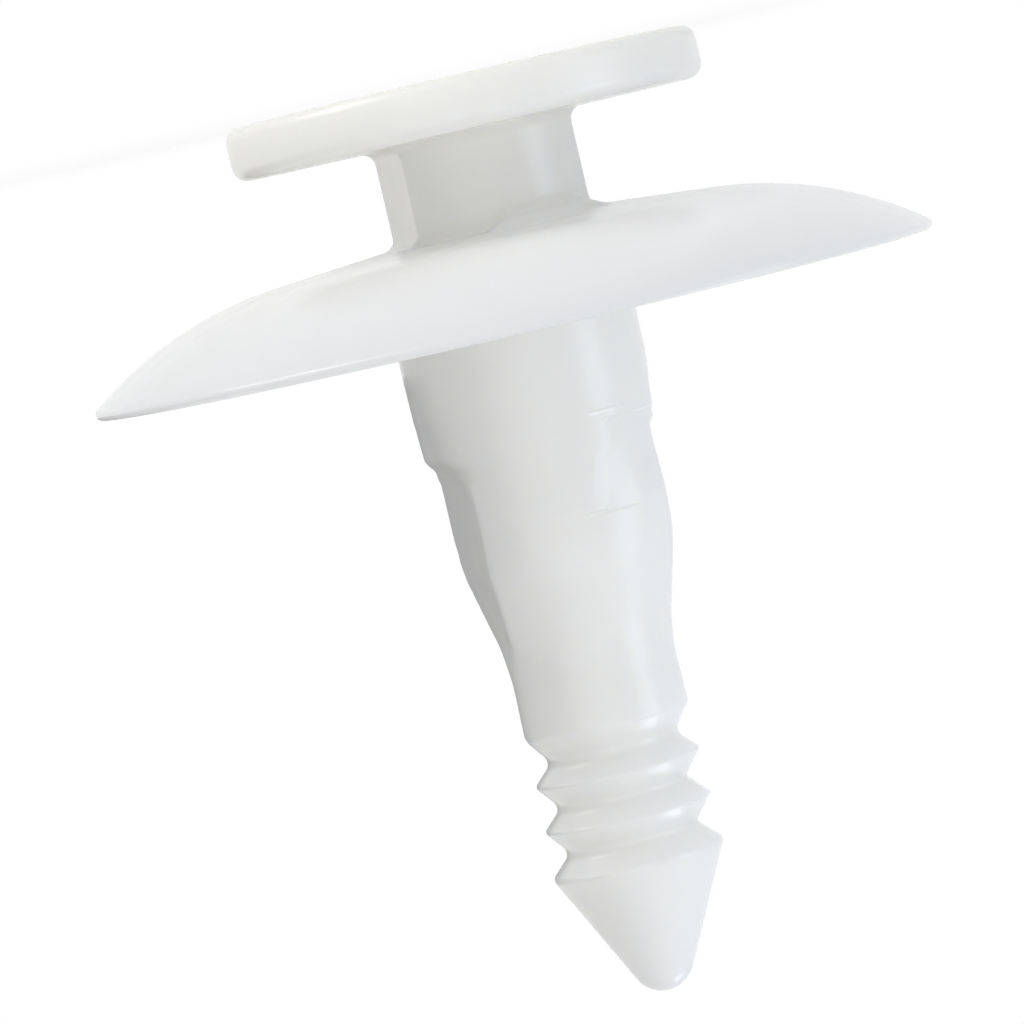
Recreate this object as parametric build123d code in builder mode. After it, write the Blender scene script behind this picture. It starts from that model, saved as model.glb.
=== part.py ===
from build123d import *
import os
from math import acos, ceil, cos, radians, sin, tan

# Trim panel clip, moulded in one piece from natural nylon. Lengths are in millimetres and angles in
# degrees. It stands on the flat outer face of its head, the origin is the centre of that face, and
# +Z runs along the stem to the tip. The side flats face +X and -X.

# Head
head_radius = 7.4
head_thickness = 1.65
head_face_edge_radius = 0.42
head_back_edge_radius = 0.48

# Neck, a post with two side flats that slides into the key slot of the trim panel
neck_length = 3.1
neck_radius = 3.37
neck_flat_distance = 2.73
neck_crease_radius = 0.1
neck_head_fillet = 0.45
neck_foot_fillet = 0.38

# Umbrella, a thin sprung skirt that is hollow towards the tip
umbrella_radius = 13.2
crown_radius = 7.0
crown_slope = 5.1
rim_slope = 37.7
crown_wall = 0.85
lip_thickness = 0.34
root_fillet = 0.4

# Foot pad, a low patch with ramped ends on the crown, beside the front of the neck
pad_width = 0.88
pad_rise = 0.36
pad_edge_rise = 0.12
pad_edge_width = 0.55
pad_start_angle = 222.0
pad_arc = 62.0
pad_ramp_slope = 32.0

# Collar, the round stretch that fills the hole in the body panel
collar_radius = 3.75
collar_length = 5.02

# Barrel, from the collar to the crease, then its shoulder and the taper to the shaft
barrel_length = 3.0
crease_radius = 3.7
shoulder_length = 1.35
shoulder_radius = 3.56
shoulder_blend = 5.0
taper_length = 3.0
taper_end_blend = 5.5

# Side flats of the barrel, with a ramp above and a taper below
flat_distance = 2.98
flat_ramp_slope = 27.0
flat_ramp_into_collar = 0.35
ramp_blend = 0.8
flat_length_past_crease = 1.25
flat_taper_slope = 9.2
flat_exit_slope = 6.0
flat_blend = 2.5

# Reliefs at the front and back of the barrel, turned a little from -Y and +Y. Each starts with a
# small ledge, is deepest there and is gone at the crease.
relief_turn = -24.0
relief_ledge_length = 0.25
relief_depth = 0.14
relief_end_depth = 0.01

# Shaft and fir tree barbs
shaft_radius = 2.555
shaft_end_radius = 2.6
shaft_length = 2.35
shaft_edge_radius = 0.3
first_groove_drop = 0.85
groove_count = 3
groove_radius = 1.96
groove_root_radius = 0.2
ridge_radius = 2.62
ridge_peak_radius = 0.07
ridge_growth = 0.025
barb_rise = 0.64
barb_fall = 0.79

# Nose
nose_land = 0.15
nose_half_angle = 26.65
nose_radius = 1.0

# How far a cutting shape runs past the surface that it trims
overrun = 0.5

# How far the short cones of a turned section may stray from its arcs
chord_error = 0.035

# Stations along the axis
crown_z = head_thickness + neck_length
crown_rate = tan(radians(crown_slope))
crown_edge_z = crown_z + (crown_radius - neck_radius) * crown_rate
underside_z = crown_z + crown_wall / cos(radians(crown_slope)) + (collar_radius - neck_radius) * crown_rate
barrel_z = underside_z + collar_length
crease_z = barrel_z + barrel_length
shoulder_z = crease_z + shoulder_length
shaft_z = shoulder_z + taper_length
shaft_end_z = shaft_z + shaft_length
first_groove_z = shaft_end_z + first_groove_drop


# Corner points of an outline, with each arc taken in even steps. Turned from these, the roundings are
# short cones, which need far fewer facets than small tori on a wide ring.
def chord_points(outline):
    points = []
    for edge in outline.order_edges():
        steps = 1
        if edge.geom_type == GeomType.CIRCLE:
            turn_per_step = 2 * acos(1 - chord_error / edge.radius)
            steps = ceil(edge.length / edge.radius / turn_per_step)
        points += [edge @ (step / steps) for step in range(steps)]
    return points


# The foot pad is a slice of a turned disc. Its rim slopes to a thin edge, and its ends are cut by
# planes that ramp down to the crown.
with BuildPart() as foot_pad:
    pad_radius = neck_radius + pad_width
    with BuildSketch(Plane.XZ):
        with BuildLine():
            Polyline(
                (0, crown_z + crown_wall / 2),
                (0, crown_z - pad_rise),
                (pad_radius - pad_edge_width, crown_z - pad_rise),
                (pad_radius, crown_z - pad_edge_rise),
                (pad_radius, crown_z + crown_wall / 2),
                close=True,
            )
        make_face()
    revolve(axis=Axis.Z)
    for end_angle, inward in ((pad_start_angle, 1), (pad_start_angle + pad_arc, -1)):
        lean = inward * sin(radians(pad_ramp_slope))
        ramp_normal = (
            -sin(radians(end_angle)) * lean,
            cos(radians(end_angle)) * lean,
            cos(radians(pad_ramp_slope)),
        )
        split(bisect_by=Plane(origin=(0, 0, crown_z), z_dir=ramp_normal), keep=Keep.TOP)

with BuildPart() as clip_body:
    # Head, a flat disc with rounded edges
    with BuildLine(mode=Mode.PRIVATE) as head_outline:
        FilletPolyline(
            (0, 0),
            (head_radius, 0),
            (head_radius, head_thickness),
            (0, head_thickness),
            radius=[head_face_edge_radius, head_back_edge_radius],
        )
        Line((0, head_thickness), (0, 0))
    with BuildSketch(Plane.XZ):
        with BuildLine():
            Polyline(*chord_points(head_outline.wire()), close=True)
        make_face()
    revolve(axis=Axis.Z)

    # Corners of the stem from the collar to the shaft, as radius and height, each with its rounding
    stem_corners = [
        (collar_radius, underside_z),
        (collar_radius, barrel_z),
        (crease_radius, crease_z),
        (shoulder_radius, shoulder_z),
        (shaft_radius, shaft_z),
        (shaft_end_radius, shaft_end_z),
    ]
    stem_roundings = [root_fillet, 0, 0, shoulder_blend, taper_end_blend, shaft_edge_radius]

    # Barbs, each a groove and the ridge after it
    for barb in range(groove_count):
        growth = barb * ridge_growth
        groove_z = first_groove_z + barb * (barb_rise + barb_fall)
        stem_corners += [(groove_radius + growth, groove_z), (ridge_radius + growth, groove_z + barb_rise)]
        stem_roundings += [groove_root_radius, ridge_peak_radius]

    # Nose, a cone from the last ridge that runs into a round tip
    last_ridge_radius, last_ridge_z = stem_corners[-1]
    nose_z = last_ridge_z + nose_land
    nose_sine = sin(radians(nose_half_angle))
    nose_cosine = cos(radians(nose_half_angle))
    nose_centre_z = nose_z + (last_ridge_radius * nose_cosine - nose_radius) / nose_sine
    nose_tangent_point = (nose_radius * nose_cosine, nose_centre_z + nose_radius * nose_sine)
    nose_tip = (0, nose_centre_z + nose_radius)
    stem_corners += [(last_ridge_radius, nose_z), nose_tangent_point]
    stem_roundings += [ridge_peak_radius]

    # Umbrella. The outer arc leaves the crown's cone as a tangent and reaches the round lip at the
    # rim slope. The inner arc leaves the lip at the same slope and thickens the wall to the crown.
    turn = rim_slope - crown_slope
    turn_cosine = cos(radians(turn))
    rim_sine = sin(radians(rim_slope))
    lip_radius = lip_thickness / 2
    outer_arc_run = umbrella_radius - lip_radius + lip_radius * rim_sine - crown_radius
    outer_arc_radius = outer_arc_run / (rim_sine - sin(radians(crown_slope)))
    inner_arc_radius = outer_arc_radius - (crown_wall - lip_thickness * turn_cosine) / (1 - turn_cosine)

    # Umbrella and stem as one turned section
    with BuildLine(mode=Mode.PRIVATE) as stem_outline:
        crown_line = Line((0, crown_edge_z - crown_radius * crown_rate), (crown_radius, crown_edge_z))
        outer_arc = JernArc(crown_line @ 1, crown_line % 1, outer_arc_radius, turn)
        lip = JernArc(outer_arc @ 1, outer_arc % 1, lip_radius, 180)
        inner_arc = JernArc(lip @ 1, lip % 1, inner_arc_radius, -turn)
        FilletPolyline(inner_arc @ 1, *stem_corners, radius=stem_roundings)
        TangentArc(nose_tangent_point, nose_tip, tangent=(-nose_sine, nose_cosine))
        Line(nose_tip, crown_line @ 0)
    with BuildSketch(Plane.XZ):
        with BuildLine():
            Polyline(*chord_points(stem_outline.wire()), close=True)
        make_face()
    revolve(axis=Axis.Z)

    # Side flats, cut from the ramp under the collar down to the round shaft
    cut_reach = collar_radius + overrun
    ramp_rate = 1 / tan(radians(flat_ramp_slope))
    exit_rate = 1 / tan(radians(flat_exit_slope))
    ramp_z = barrel_z - flat_ramp_into_collar
    flat_z = ramp_z + (collar_radius - flat_distance) * ramp_rate
    flat_end_z = crease_z + flat_length_past_crease
    exit_z = flat_end_z + (flat_distance - shaft_radius) / tan(radians(flat_taper_slope))
    for side in (1, -1):
        with BuildSketch(Plane.XZ):
            with BuildLine():
                flat_edge = FilletPolyline(
                    (side * cut_reach, ramp_z - overrun * ramp_rate),
                    (side * flat_distance, flat_z),
                    (side * flat_distance, flat_end_z),
                    (side * shaft_radius, exit_z),
                    (side * cut_reach, exit_z + (cut_reach - shaft_radius) * exit_rate),
                    radius=[ramp_blend, flat_blend, flat_blend],
                )
                Line(flat_edge @ 1, flat_edge @ 0)
            make_face()
        extrude(amount=cut_reach, both=True, mode=Mode.SUBTRACT)

    # Reliefs at the front and back, each sloping out from its ledge to the crease
    relief_distance = collar_radius - relief_depth
    ledge_rate = relief_ledge_length / relief_depth
    for face in (1, -1):
        with BuildSketch(Plane.YZ.rotated((0, relief_turn, 0))):
            with BuildLine():
                Polyline(
                    (face * cut_reach, barrel_z - overrun * ledge_rate),
                    (face * relief_distance, barrel_z + relief_ledge_length),
                    (face * (crease_radius - relief_end_depth), crease_z),
                    (face * cut_reach, crease_z),
                    close=True,
                )
            make_face()
        extrude(amount=cut_reach, both=True, mode=Mode.SUBTRACT)

    # Neck post, from inside the head to inside the crown, with a fillet at each end
    with BuildSketch(Plane.XY.offset(head_thickness / 2)) as neck_section:
        Circle(neck_radius)
        Rectangle(2 * neck_flat_distance, 2 * neck_radius, mode=Mode.INTERSECT)
        fillet(neck_section.vertices(), neck_crease_radius)
    extrude(amount=head_thickness / 2 + neck_length + crown_wall / 2)
    neck_edges = clip_body.edges(Select.LAST)
    head_joint = neck_edges.filter_by_position(Axis.Z, 0, head_thickness + neck_head_fillet)
    foot_joint = neck_edges.filter_by_position(Axis.Z, crown_z - neck_foot_fillet, crown_z + crown_wall)
    fillet(head_joint, neck_head_fillet)
    fillet(foot_joint, neck_foot_fillet)
    add(foot_pad.part)

clip_body.part.label = "clip_body"
os.makedirs("parts", exist_ok=True)
export_step(clip_body.part, "parts/clip_body.step")
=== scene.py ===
from math import cos, pi, radians, sin, sqrt, tan

import bpy
from mathutils import Matrix, Vector


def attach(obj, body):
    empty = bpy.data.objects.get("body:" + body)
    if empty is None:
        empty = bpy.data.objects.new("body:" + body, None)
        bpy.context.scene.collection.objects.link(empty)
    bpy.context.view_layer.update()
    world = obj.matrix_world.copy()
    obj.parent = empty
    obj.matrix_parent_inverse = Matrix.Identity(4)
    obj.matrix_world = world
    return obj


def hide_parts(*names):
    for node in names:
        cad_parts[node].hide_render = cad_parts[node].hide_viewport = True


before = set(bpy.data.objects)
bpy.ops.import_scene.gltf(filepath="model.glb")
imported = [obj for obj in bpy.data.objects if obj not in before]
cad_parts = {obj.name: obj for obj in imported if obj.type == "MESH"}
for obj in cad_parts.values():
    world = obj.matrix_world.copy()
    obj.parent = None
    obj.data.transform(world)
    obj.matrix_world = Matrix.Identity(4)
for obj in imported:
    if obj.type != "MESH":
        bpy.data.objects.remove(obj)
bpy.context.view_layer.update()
print("frame loaded")

mm = 0.001
tolerance = 1e-6
nearlyZero = 0.01  # stands for a cosine that is too small to divide by


# Outlines, as points of radius and height

def cornerArc(before, corner, after, rounding, steps):
    if rounding == 0:
        return [corner.copy()]
    back = (before - corner).normalized()
    onward = (after - corner).normalized()
    half = back.angle(onward) / 2
    middle = corner + (back + onward).normalized() * rounding / sin(half)
    start = corner + back * rounding / tan(half) - middle
    end = corner + onward * rounding / tan(half) - middle
    turn = pi - 2 * half
    points = []
    for step in range(steps + 1):
        share = step / steps
        mix = (start * sin((1 - share) * turn) + end * sin(share * turn)) / sin(turn)
        points.append(middle + mix)
    return points


def roundedPath(corners, arcSteps=6):
    # each corner is radius, height, rounding and how many points lead up to it
    places = [Vector(corner[:2]) for corner in corners]
    path = [places[0]]
    for index in range(1, len(corners)):
        rounding, lead = corners[index][2:]
        last = index == len(corners) - 1
        arc = [places[index]]
        if not last:
            arc = cornerArc(places[index - 1], places[index], places[index + 1], rounding, arcSteps)
        begin = path[-1].copy()
        path += [begin.lerp(arc[0], step / (lead + 1)) for step in range(1, lead + 1)]
        path += arc
    return path


def tangentArc(start, slope, radius, turn, steps):
    # an arc that leaves start at the slope and turns left by turn, both in degrees
    side = 1 if turn > 0 else -1
    heading = radians(slope)
    middle = start + Vector((-sin(heading), cos(heading))) * radius * side
    points = []
    for step in range(1, steps + 1):
        angle = heading + radians(turn) * step / steps
        points.append(middle + Vector((sin(angle), -cos(angle))) * radius * side)
    return points


# Values that blend into each other

def softMin(a, b, softness):
    # the smaller of a and b, rounded off where they are about equal
    share = min(max(0.5 + 0.5 * (b - a) / softness, 0), 1)
    return b + (a - b) * share - softness * share * (1 - share)


def smooth(value):
    # eases from 0 to 1
    value = min(max(value, 0), 1)
    return value * value * (3 - 2 * value)


def between(z, low, high):
    # value at z of a line from low to high, each a height and a value
    share = min(max((z - low[0]) / (high[0] - low[0]), 0), 1)
    return low[1] + share * (high[1] - low[1])


def along(z, points):
    # value at z of a line through points of height and value
    for low, high in zip(points, points[1:]):
        if z < high[0]:
            return between(z, low, high)
    return points[-1][1]


def acrossFlat(distance, angle):
    # from the axis to a flat that lies at the distance, measured along a line at the angle
    return distance / max(abs(cos(angle)), nearlyZero)


# Clip, one moulding in natural nylon. Lengths are in millimetres and angles in degrees, round the axis
# from +X. Left and right are those of the picture, where +X is on the left.

clip = {
    "headRadius": 7.4,
    "headThickness": 1.65,
    "headFaceEdge": 0.42,
    "headBackEdge": 0.48,
    "neckLength": 3.1,
    "neckRadius": 3.37,
    "neckFlat": 2.73,
    "neckEdgeSoftness": 0.02,
    "neckHeadFillet": 0.45,
    "neckFootFillet": 0.38,
    "neckFootMargin": 0.1,
    "umbrellaRadius": 13.2,
    "crownRadius": 7.0,
    "crownSlope": 5.1,
    "rimSlope": 37.7,
    "crownWall": 0.85,
    "lipThickness": 0.34,
    "skirtSteps": (28, 10, 22),
    "rootFillet": 0.4,
    "collarRadius": 3.75,
    "collarLength": 5.02,
    "barrelLength": 3,
    "creaseRadius": 3.7,
    "creaseRounding": 0.6,
    "shoulderLength": 1.35,
    "shoulderRadius": 3.56,
    "shoulderRounding": 5,
    "taperLength": 3.0,
    "shaftRadius": 2.555,
    "shaftRounding": 5.5,
    "shaftEndRadius": 2.6,
    "shaftLength": 2.35,
}

crownZ = clip["headThickness"] + clip["neckLength"]
crownRate = tan(radians(clip["crownSlope"]))
undersideZ = crownZ + clip["crownWall"] / cos(radians(clip["crownSlope"]))
undersideZ += (clip["collarRadius"] - clip["neckRadius"]) * crownRate
barrelZ = undersideZ + clip["collarLength"]
creaseZ = barrelZ + clip["barrelLength"]
shoulderZ = creaseZ + clip["shoulderLength"]
shaftZ = shoulderZ + clip["taperLength"]
shaftEndZ = shaftZ + clip["shaftLength"]

# the neck's foot pad, a low mound on the crown beside the front of the neck
footPad = {
    "outerRadius": 4.9,
    "rise": 0.36,
    "startAngle": 221,
    "arc": 64,
    "rampSlope": 32,
    "softness": 0.1,
    "depthIntoNeck": 0.7,
    "heightOnNeck": 1,
    "easeOnNeck": 0.9,
}


def crownHeight(radius):
    return crownZ + (radius - clip["neckRadius"]) * crownRate


def headAndNeckPath():
    radius, thickness = clip["headRadius"], clip["headThickness"]
    padRadius, crownRadius = footPad["outerRadius"], clip["crownRadius"]
    return roundedPath([
        (0, 0, 0, 0),
        (radius, 0, clip["headFaceEdge"], 2),
        (radius, thickness, clip["headBackEdge"], 2),
        (clip["neckRadius"], thickness, clip["neckHeadFillet"], 4),
        (clip["neckRadius"], crownZ, clip["neckFootFillet"], 8),
        (padRadius, crownHeight(padRadius), 0, 14),
        (crownRadius, crownHeight(crownRadius), 0, 10),
    ], arcSteps=8)


def neckHalfWidth(z):
    # distance of the neck's side flats, flared into the head and the crown
    width = clip["neckFlat"]
    for fillet, depth in (
        (clip["neckHeadFillet"], z - clip["headThickness"]),
        (clip["neckFootFillet"], crownZ - z),
    ):
        if depth < fillet:
            width += fillet - sqrt(fillet ** 2 - (fillet - max(depth, 0)) ** 2)
    return width


def padRise(radius, angle):
    # how far the foot pad stands on the crown
    first = radians(footPad["startAngle"])
    last = first + radians(footPad["arc"])
    if cos(angle - (first + last) / 2) < 0:
        return 0
    across = min(radius * sin(angle - first), radius * sin(last - angle))
    ramp = max(across, 0) * tan(radians(footPad["rampSlope"]))
    run = footPad["outerRadius"] - clip["neckRadius"]
    fade = smooth((footPad["outerRadius"] - radius) / run)
    return max(softMin(ramp, footPad["rise"], footPad["softness"]), 0) * fade


def neckPoint(place, turn):
    # a point of the head and neck, held back at a side flat and raised on the foot pad
    angle = radians(turn)
    radius, z = place
    if z <= clip["headThickness"] + tolerance:
        return radius, z
    footFillet = clip["neckFootFillet"]
    footRadius = clip["neckRadius"] + footFillet + clip["neckFootMargin"]
    if z < crownZ + footFillet * crownRate + tolerance and radius < footRadius:
        held = softMin(radius, acrossFlat(neckHalfWidth(z), angle), clip["neckEdgeSoftness"])
        if z > crownZ - footFillet:
            z += (held - radius) * crownRate * smooth((z - crownZ) / footFillet + 1)
        radius = held
    overFoot = z - crownZ + footPad["heightOnNeck"]
    if overFoot > 0 and radius > clip["neckRadius"] - footPad["depthIntoNeck"]:
        z -= padRise(radius, angle) * smooth(overFoot / footPad["easeOnNeck"])
    return radius, z


def umbrellaPath(start):
    # the outer arc, the round lip and the inner arc, which thickens the skirt towards the crown
    turn = clip["rimSlope"] - clip["crownSlope"]
    turnCosine = cos(radians(turn))
    rimSine = sin(radians(clip["rimSlope"]))
    lip = clip["lipThickness"] / 2
    run = clip["umbrellaRadius"] - lip + lip * rimSine - clip["crownRadius"]
    outer = run / (rimSine - sin(radians(clip["crownSlope"])))
    inner = outer - (clip["crownWall"] - clip["lipThickness"] * turnCosine) / (1 - turnCosine)
    outerSteps, lipSteps, innerSteps = clip["skirtSteps"]
    path = tangentArc(start, clip["crownSlope"], outer, turn, outerSteps)
    path += tangentArc(path[-1], clip["rimSlope"], lip, 180, lipSteps)
    path += tangentArc(path[-1], clip["rimSlope"] + 180, inner, -turn, innerSteps)
    return path


# flats on both sides of the barrel; each ramp goes through these heights and distances from the axis
sideFlats = {
    "distance": 2.98,
    "leftRamp": [(9.3, 4.2), (10.3, 3.65), (11.3, 3.52), (11.74, 3.06), (12.2, 2.96)],
    "rightRamp": [(8.6, 4.05), (10.4, 3.44), (11.48, 3.29), (11.62, 3.04), (12.6, 2.98)],
    "beforeBarrel": 1.8,
    "pastCrease": 1.25,
    "beforeShaftEnd": 1,
    "taperSlope": 9.2,
    "exitSlope": 6,
    "bendSoftness": 0.04,
    "edgeSoftness": 0.04,
    "leftRampSoftness": 0.7,
    "rightRampSoftness": 0.25,
    "softBeforeCrease": 0.6,
    "softRun": 1.3,
    "softSide": (0.5, 0.6),
}


def flatDistance(z, left):
    # the ramp, the flat itself, its taper to the shaft and the way out of the shaft
    distance, bend = sideFlats["distance"], sideFlats["bendSoftness"]
    taperRate = tan(radians(sideFlats["taperSlope"]))
    pastFlat = z - creaseZ - sideFlats["pastCrease"]
    taper = distance - pastFlat * taperRate
    run = (distance - clip["shaftRadius"]) / taperRate
    leave = clip["shaftRadius"] + (pastFlat - run) * tan(radians(sideFlats["exitSlope"]))
    ramp = along(z, sideFlats["leftRamp" if left else "rightRamp"])
    return -softMin(-softMin(ramp, taper, bend), -leave, bend)


def flatSoftness(z, angle, left):
    # the flats' edges are softer beside the ramps at the front
    start, run = sideFlats["softSide"]
    front = smooth((start - sin(angle)) / run)
    nearRamp = smooth((creaseZ - sideFlats["softBeforeCrease"] - z) / sideFlats["softRun"])
    softness = sideFlats["edgeSoftness"]
    rampSoftness = sideFlats["leftRampSoftness" if left else "rightRampSoftness"]
    return softness + (rampSoftness - softness) * nearRamp * front


# shallow mark that an insert in the mould left on the barrel. Its floor falls away from its left
# border, which goes through these heights and angles, and its right part runs out towards the crease.
# Fine raised lines stand at the insert's edges: height, the angles each runs between, rise and width.
# They are steepest towards the head and fall off over their width towards the tip.
insertMark = {
    "border": [(11.1, 250), (12.09, 252.5), (12.16, 259.4), (13.09, 263.6), (13.87, 270)],
    "slope": 0.008,
    "depth": 0.08,
    "edge": 0.06,
    "rightEnd": 205,
    "rightEase": 15,
    "fadeStart": 12.3,
    "fadeLength": 1.5,
    "fadeAcross": 14,
    "lines": [
        (10.85, 235, 260, 0.085, 0.09),
        (11.12, 233, 252.5, 0.06, 0.07),
        (13.84, 257, 272, 0.08, 0.09),
    ],
    "lineStep": 0.04,
    "lineEase": (8, 3),
    "upperLines": (10.79, 11.29),
    "lowerLine": (13.78, 13.98),
}


def markDepth(turn, z):
    # how far the insert mark lies under the barrel, less the rise of the lines at its edges
    border, edge = insertMark["border"], insertMark["edge"]
    within = smooth((z - border[0][0]) / edge) * smooth((border[-1][0] - z) / edge + 1)
    floor = min(max((along(z, border) - turn) * insertMark["slope"], 0), insertMark["depth"])
    floor *= smooth((turn - insertMark["rightEnd"]) / insertMark["rightEase"] + 1)
    fade = smooth((z - insertMark["fadeStart"]) / insertMark["fadeLength"])
    floor *= 1 - smooth((border[0][1] - turn) / insertMark["fadeAcross"]) * fade
    startEase, endEase = insertMark["lineEase"]
    raised = 0
    for height, first, last, rise, width in insertMark["lines"]:
        across = smooth((turn - first) / startEase) * smooth((last - turn) / endEase)
        reach = width if z > height else insertMark["lineStep"]
        raised += rise * across * max(1 - abs(z - height) / reach, 0)
    return floor * within - raised


# fir tree barbs, which sit a little askew and are softer on one side
barbs = {
    "count": 3,
    "firstDrop": 0.85,
    "grooveRadius": 1.96,
    "rootRounding": 0.16,
    "softRootRounding": 0.34,
    "firstRootRounding": 0.36,
    "ridgeRadius": 2.62,
    "peakRounding": 0.05,
    "softPeakRounding": 0.12,
    "shaftEdge": 0.12,
    "softShaftEdge": 0.6,
    "growth": 0.025,
    "rise": 0.64,
    "fall": 0.79,
    "lean": 1.4,
    "leanRun": 1.6,
}

nose = {"land": 0.15, "halfAngle": 26.65, "radius": 1.0, "steps": 10}


def onBarrel(z):
    return between(z, (barrelZ, clip["collarRadius"]), (creaseZ, clip["creaseRadius"]))


def onShoulder(z):
    return between(z, (creaseZ, clip["creaseRadius"]), (shoulderZ, clip["shoulderRadius"]))


def barbCorners(peak, root):
    corners = []
    z = shaftEndZ + barbs["firstDrop"]
    for barb in range(barbs["count"]):
        growth = barb * barbs["growth"]
        rounding = root if barb else barbs["firstRootRounding"]
        corners.append((barbs["grooveRadius"] + growth, z, rounding, 2))
        z += barbs["rise"]
        corners.append((barbs["ridgeRadius"] + growth, z, peak, 2))
        z += barbs["fall"]
    return corners


def stemPath(start, soft):
    # soft is 0 for the crisp side of the moulding and 1 for its soft side
    edge = barbs["shaftEdge"] + soft * (barbs["softShaftEdge"] - barbs["shaftEdge"])
    peak = barbs["peakRounding"] + soft * (barbs["softPeakRounding"] - barbs["peakRounding"])
    root = barbs["rootRounding"] + soft * (barbs["softRootRounding"] - barbs["rootRounding"])
    # rows lie close together where the insert mark has its lines
    upperStart, upperEnd = insertMark["upperLines"]
    lowerStart, lowerEnd = insertMark["lowerLine"]
    corners = [
        (start.x, start.y, 0, 0),
        (clip["collarRadius"], undersideZ, clip["rootFillet"], 6),
        (clip["collarRadius"], barrelZ, 0, 14),
        (onBarrel(upperStart), upperStart, 0, 2),
        (onBarrel(upperEnd), upperEnd, 0, 34),
        (clip["creaseRadius"], creaseZ, clip["creaseRounding"], 28),
        (onShoulder(lowerStart), lowerStart, 0, 0),
        (onShoulder(lowerEnd), lowerEnd, 0, 14),
        (clip["shoulderRadius"], shoulderZ, clip["shoulderRounding"], 6),
        (clip["shaftRadius"], shaftZ, clip["shaftRounding"], 16),
        (clip["shaftEndRadius"], shaftEndZ, edge, 8),
    ] + barbCorners(peak, root)
    # the cone runs on from the last ridge as a tangent of the round tip
    ridgeRadius, ridgeZ = corners[-1][:2]
    halfAngle = radians(nose["halfAngle"])
    coneZ = ridgeZ + nose["land"]
    middleZ = coneZ + (ridgeRadius * cos(halfAngle) - nose["radius"]) / sin(halfAngle)
    coneEndZ = middleZ + nose["radius"] * sin(halfAngle)
    corners.append((ridgeRadius, coneZ, peak, 0))
    corners.append((nose["radius"] * cos(halfAngle), coneEndZ, 0, 12))
    path = roundedPath(corners)[1:]
    for step in range(1, nose["steps"] + 1):
        angle = halfAngle + (pi / 2 - halfAngle) * step / nose["steps"]
        path.append(Vector((nose["radius"] * cos(angle), middleZ + nose["radius"] * sin(angle))))
    return path


def stemPoint(crisp, soft, turn):
    # a point of the stem's outline, turned, with the side flats, the insert mark and the barbs' lean
    angle = radians(turn)
    radius, z = crisp.lerp(soft, (1 + cos(angle)) / 2)
    if barrelZ - sideFlats["beforeBarrel"] < z < shaftEndZ - sideFlats["beforeShaftEnd"]:
        left = cos(angle) > 0
        wide = acrossFlat(flatDistance(z, left), angle)
        radius = softMin(radius - markDepth(turn, z), wide, flatSoftness(z, angle, left))
    lean = tan(radians(barbs["lean"])) * smooth((z - shaftEndZ) / barbs["leanRun"] + 1)
    return radius, z + radius * cos(angle) * lean


# the skin's columns of points stand closer together round the insert mark
columnSteps = {"step": 2, "fineStep": 0.65, "fineFrom": 214, "fineTo": 284}


def columnTurns():
    turns = [0]
    while turns[-1] < 360:
        fine = columnSteps["fineFrom"] <= turns[-1] < columnSteps["fineTo"]
        turns.append(turns[-1] + columnSteps["fineStep" if fine else "step"])
    return [turn * 360 / turns[-1] for turn in turns[:-1]]


def skinFaces(rows, columns):
    # quads between the rows, and a fan of triangles at each end
    faces = []
    lastRow = 1 + (rows - 1) * columns
    for column in range(columns):
        following = (column + 1) % columns
        faces.append((0, 1 + following, 1 + column))
        for row in range(rows - 1):
            lower, upper = 1 + row * columns, 1 + (row + 1) * columns
            faces.append((lower + column, lower + following, upper + following, upper + column))
        faces.append((lastRow + column, lastRow + following, lastRow + columns))
    return faces


def buildClip():
    neckPath = headAndNeckPath()
    skirtPath = umbrellaPath(neckPath[-1])
    crispPath, softPath = stemPath(skirtPath[-1], 0), stemPath(skirtPath[-1], 1)
    turns = columnTurns()
    rows = [[neckPoint(place, turn) for turn in turns] for place in neckPath[1:]]
    rows += [[tuple(place)] * len(turns) for place in skirtPath]
    for crisp, soft in zip(crispPath[:-1], softPath):
        rows.append([stemPoint(crisp, soft, turn) for turn in turns])
    verts = [(0, 0, 0)]
    for row in rows:
        for turn, (radius, z) in zip(turns, row):
            x, y = radius * cos(radians(turn)), radius * sin(radians(turn))
            verts.append((x * mm, y * mm, z * mm))
    verts.append((0, 0, crispPath[-1].y * mm))
    mesh = bpy.data.meshes.new("nylonClip")
    mesh.from_pydata(verts, [], skinFaces(len(rows), len(turns)))
    mesh.validate()
    mesh.shade_smooth()
    piece = bpy.data.objects.new("nylonClip", mesh)
    bpy.context.scene.collection.objects.link(piece)
    print("clip", len(verts), "points")
    return piece


# Materials

nylonLook = {
    "colour": (0.9, 0.9, 0.89, 1),
    "cloudy": (0.88, 0.879, 0.862, 1),
    "cloudScale": 260,
    "cloudDetail": 3,
    "roughness": (0.2, 0.26),
    "roughnessScale": 700,
    "roughnessDetail": 2,
    "patchRange": (0.3, 0.7),
    "noiseRoughness": 0.55,
    "scatter": (0.9, 0.85, 0.75),
    "scatterDepth": 3.5,
    "refraction": 1.5,
    "grainScale": 2600,
    "grainDetail": 1,
    "grainStrength": 0.5,
    "grainDepth": 0.0015,
}


def addNoise(nodes, links, place, scale, detail):
    noise = nodes.new("ShaderNodeTexNoise")
    noise.inputs["Scale"].default_value = scale
    noise.inputs["Detail"].default_value = detail
    noise.inputs["Roughness"].default_value = nylonLook["noiseRoughness"]
    links.new(place.outputs["Object"], noise.inputs["Vector"])
    return noise


def addRange(nodes, links, source, fromRange, toRange):
    mapped = nodes.new("ShaderNodeMapRange")
    for way, (low, high) in (("From", fromRange), ("To", toRange)):
        mapped.inputs[way + " Min"].default_value = low
        mapped.inputs[way + " Max"].default_value = high
    links.new(source, mapped.inputs["Value"])
    return mapped


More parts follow.
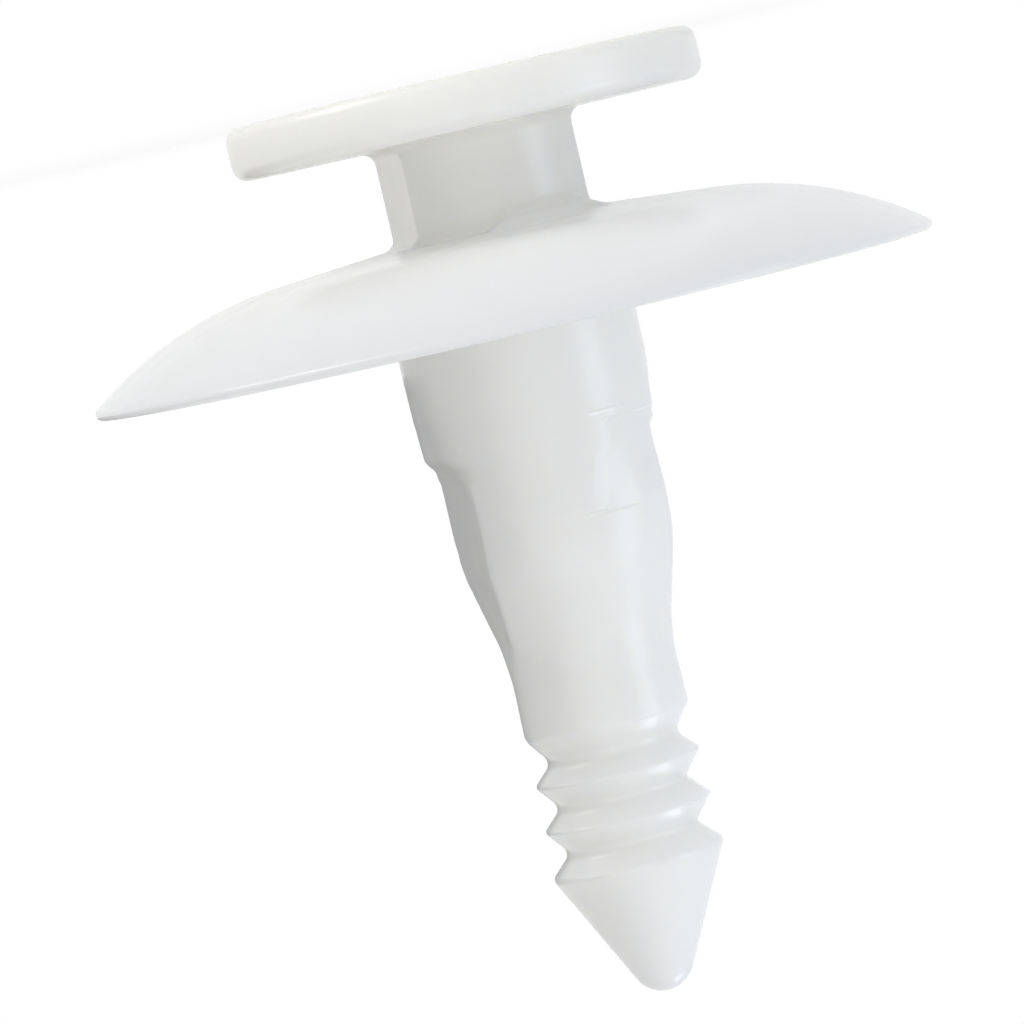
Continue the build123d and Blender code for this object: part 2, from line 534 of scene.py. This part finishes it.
def makeNylon():
    material = bpy.data.materials.new("naturalNylon")
    material.use_nodes = True
    nodes, links = material.node_tree.nodes, material.node_tree.links
    shader = nodes["Principled BSDF"]
    place = nodes.new("ShaderNodeTexCoord")
    # natural nylon is faintly cloudy
    clouds = addNoise(nodes, links, place, nylonLook["cloudScale"], nylonLook["cloudDetail"])
    tint = nodes.new("ShaderNodeMix")
    tint.data_type = "RGBA"
    tint.inputs["A"].default_value = nylonLook["colour"]
    tint.inputs["B"].default_value = nylonLook["cloudy"]
    links.new(clouds.outputs["Fac"], tint.inputs["Factor"])
    links.new(tint.outputs["Result"], shader.inputs["Base Color"])
    # gloss that changes a little from place to place
    patches = addNoise(nodes, links, place, nylonLook["roughnessScale"], nylonLook["roughnessDetail"])
    gloss = addRange(
        nodes, links, patches.outputs["Fac"], nylonLook["patchRange"], nylonLook["roughness"]
    )
    links.new(gloss.outputs["Result"], shader.inputs["Roughness"])
    # fine grain from the mould
    grain = addNoise(nodes, links, place, nylonLook["grainScale"], nylonLook["grainDetail"])
    relief = nodes.new("ShaderNodeBump")
    relief.inputs["Strength"].default_value = nylonLook["grainStrength"]
    relief.inputs["Distance"].default_value = nylonLook["grainDepth"] * mm
    links.new(grain.outputs["Fac"], relief.inputs["Height"])
    links.new(relief.outputs["Normal"], shader.inputs["Normal"])
    # light that goes into the nylon and comes out near by
    shader.inputs["Subsurface Weight"].default_value = 1
    shader.inputs["Subsurface Radius"].default_value = nylonLook["scatter"]
    shader.inputs["Subsurface Scale"].default_value = nylonLook["scatterDepth"] * mm
    shader.inputs["IOR"].default_value = nylonLook["refraction"]
    return material


def whiteRays(nodes, links):
    # 1 for the rays of the camera, of gloss and through glass, which see a white surrounding
    path = nodes.new("ShaderNodeLightPath")
    seen = path.outputs["Is Camera Ray"]
    for ray in ("Is Glossy Ray", "Is Transmission Ray"):
        larger = nodes.new("ShaderNodeMath")
        larger.operation = "MAXIMUM"
        links.new(seen, larger.inputs[0])
        links.new(path.outputs[ray], larger.inputs[1])
        seen = larger.outputs["Value"]
    return seen


# away from the clip the floor runs into the backdrop, and near it the floor shows the shadow; size and
# distances from the clip's axis are in metres
floorLook = {
    "size": 6,
    "colour": (0.95, 0.95, 0.94, 1),
    "fadeDistances": (0.01, 0.03),
    "whiteShares": (0.9, 1),
    "whiteStrength": 1,
}


def makeFloor():
    bpy.ops.mesh.primitive_plane_add(size=floorLook["size"], location=(0, 0, 0))
    floor = bpy.context.object
    floor.name = "floor"
    material = bpy.data.materials.new("paleFloor")
    material.use_nodes = True
    nodes, links = material.node_tree.nodes, material.node_tree.links
    nodes.remove(nodes["Principled BSDF"])
    plain = nodes.new("ShaderNodeBsdfDiffuse")
    plain.inputs["Color"].default_value = floorLook["colour"]
    white = nodes.new("ShaderNodeEmission")
    white.inputs["Strength"].default_value = floorLook["whiteStrength"]
    place = nodes.new("ShaderNodeTexCoord")
    away = nodes.new("ShaderNodeVectorMath")
    away.operation = "LENGTH"
    links.new(place.outputs["Object"], away.inputs[0])
    fade = addRange(
        nodes, links, away.outputs["Value"], floorLook["fadeDistances"], floorLook["whiteShares"]
    )
    share = nodes.new("ShaderNodeMath")
    share.operation = "MULTIPLY"
    links.new(whiteRays(nodes, links), share.inputs[0])
    links.new(fade.outputs["Result"], share.inputs[1])
    blend = nodes.new("ShaderNodeMixShader")
    links.new(share.outputs["Value"], blend.inputs["Fac"])
    links.new(plain.outputs["BSDF"], blend.inputs[1])
    links.new(white.outputs["Emission"], blend.inputs[2])
    links.new(blend.outputs["Shader"], nodes["Material Output"].inputs["Surface"])
    floor.data.materials.append(material)
    # the floor lets the low lamps through, as a light table does
    floor.visible_shadow = False
    return floor


# Light

studio = {"colour": (1, 1, 1, 1), "aroundStrength": 0.48, "whiteStrength": 1}


def makeWorld():
    world = bpy.data.worlds.new("studio")
    bpy.context.scene.world = world
    world.use_nodes = True
    nodes, links = world.node_tree.nodes, world.node_tree.links
    around, white = nodes["Background"], nodes.new("ShaderNodeBackground")
    for background, strength in (
        (around, studio["aroundStrength"]),
        (white, studio["whiteStrength"]),
    ):
        background.inputs["Color"].default_value = studio["colour"]
        background.inputs["Strength"].default_value = strength
    blend = nodes.new("ShaderNodeMixShader")
    links.new(whiteRays(nodes, links), blend.inputs["Fac"])
    links.new(around.outputs["Background"], blend.inputs[1])
    links.new(white.outputs["Background"], blend.inputs[2])
    links.new(blend.outputs["Shader"], nodes["World Output"].inputs["Surface"])


def directionTo(azimuth, elevation):
    # azimuth is counted from the front towards +X
    turn, rise = radians(azimuth), radians(elevation)
    return Vector((sin(turn) * cos(rise), -cos(turn) * cos(rise), sin(rise)))


# a curved grey card round the left and the back of the stem, which darkens the left side flat; its
# radius and heights are in metres
greyCard = {
    "radius": 0.04,
    "low": 0.0105,
    "high": 0.033,
    "startAngle": 58,
    "strips": 27,
    "stripAngle": 5,
    "colour": (0.3, 0.3, 0.3, 1),
    "roughness": 0.9,
}


def addFlag():
    verts = []
    for step in range(greyCard["strips"] + 1):
        turn = greyCard["startAngle"] + greyCard["stripAngle"] * step
        spot = directionTo(turn, 0) * greyCard["radius"]
        verts += [(spot.x, spot.y, z) for z in (greyCard["low"], greyCard["high"])]
    faces = []
    for low in range(0, 2 * greyCard["strips"], 2):
        faces.append((low, low + 2, low + 3, low + 1))
    mesh = bpy.data.meshes.new("flag")
    mesh.from_pydata(verts, [], faces)
    material = bpy.data.materials.new("greyCard")
    material.use_nodes = True
    shader = material.node_tree.nodes["Principled BSDF"]
    shader.inputs["Base Color"].default_value = greyCard["colour"]
    shader.inputs["Roughness"].default_value = greyCard["roughness"]
    mesh.materials.append(material)
    flag = bpy.data.objects.new("flag", mesh)
    flag.visible_camera = False
    bpy.context.scene.collection.objects.link(flag)
    return flag


# soft lamps, aimed at the middle of the clip; each has its azimuth and elevation, its width and height
# in metres, its power in watts and its colour
paperWhite, warmWhite, coolWhite = (1, 1, 0.98), (1, 0.98, 0.92), (0.76, 0.85, 1)
lamps = {
    "front": (20, 12, 0.4, 0.4, 0.29, paperWhite),
    "frontLow": (60, -70, 0.2, 0.2, 0.16, paperWhite),
    "frontHigh": (0, 50, 0.4, 0.4, 0.16, paperWhite),
    "right": (-54, 14, 0.18, 0.3, 0.3, coolWhite),
    "rightHigh": (-100, 60, 0.13, 0.13, 0.22, coolWhite),
    "lowLeft": (100, -52, 0.2, 0.2, 0.56, warmWhite),
}
lampDistance = 0.4  # metres
lampAimHeight = 14  # millimetres


def addLamp(name, azimuth, elevation, width, height, power, colour):
    away = directionTo(azimuth, elevation)
    lamp = bpy.data.lights.new(name, "AREA")
    lamp.shape = "RECTANGLE"
    lamp.size, lamp.size_y, lamp.energy = width, height, power
    lamp.color = colour
    holder = bpy.data.objects.new(name, lamp)
    holder.location = Vector((0, 0, lampAimHeight * mm)) + away * lampDistance
    holder.rotation_euler = away.to_track_quat("Z", "Y").to_euler()
    bpy.context.scene.collection.objects.link(holder)


# Camera, turned nearly upside down, as the photograph shows the clip tip down

cameraView = {
    "azimuth": 12.049,
    "elevation": -3.0395,
    "distance": 200.81,
    "roll": 166.9155,
    "lens": 228.75,
    "sensorWidth": 36,
    "clipRange": (0.01, 20),
    "aimAcross": 1.3937,
    "aimHeight": 13.4193,
}


def makeCamera():
    away = directionTo(cameraView["azimuth"], cameraView["elevation"])
    across = directionTo(cameraView["azimuth"] + 90, 0)
    upward = across.cross(-away)
    aim = across * cameraView["aimAcross"] * mm + Vector((0, 0, cameraView["aimHeight"] * mm))
    roll = radians(cameraView["roll"])
    right = across * cos(roll) + upward * sin(roll)
    up = upward * cos(roll) - across * sin(roll)
    camera = bpy.data.cameras.new("camera")
    camera.lens = cameraView["lens"]
    camera.sensor_width = cameraView["sensorWidth"]
    camera.clip_start, camera.clip_end = cameraView["clipRange"]
    holder = bpy.data.objects.new("camera", camera)
    turned = Matrix((right, up, away)).transposed().to_4x4()
    holder.matrix_world = Matrix.Translation(aim + away * cameraView["distance"] * mm) @ turned
    bpy.context.scene.collection.objects.link(holder)
    bpy.context.scene.camera = holder


piece = buildClip()
piece.data.materials.append(makeNylon())
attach(piece, "root")
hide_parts("clip_body")

floor = makeFloor()
makeWorld()
for name, settings in lamps.items():
    addLamp(name, *settings)
flag = addFlag()
print("floor, lamps and card")

makeCamera()
bpy.context.scene.view_settings.view_transform = "Standard"
print("camera")
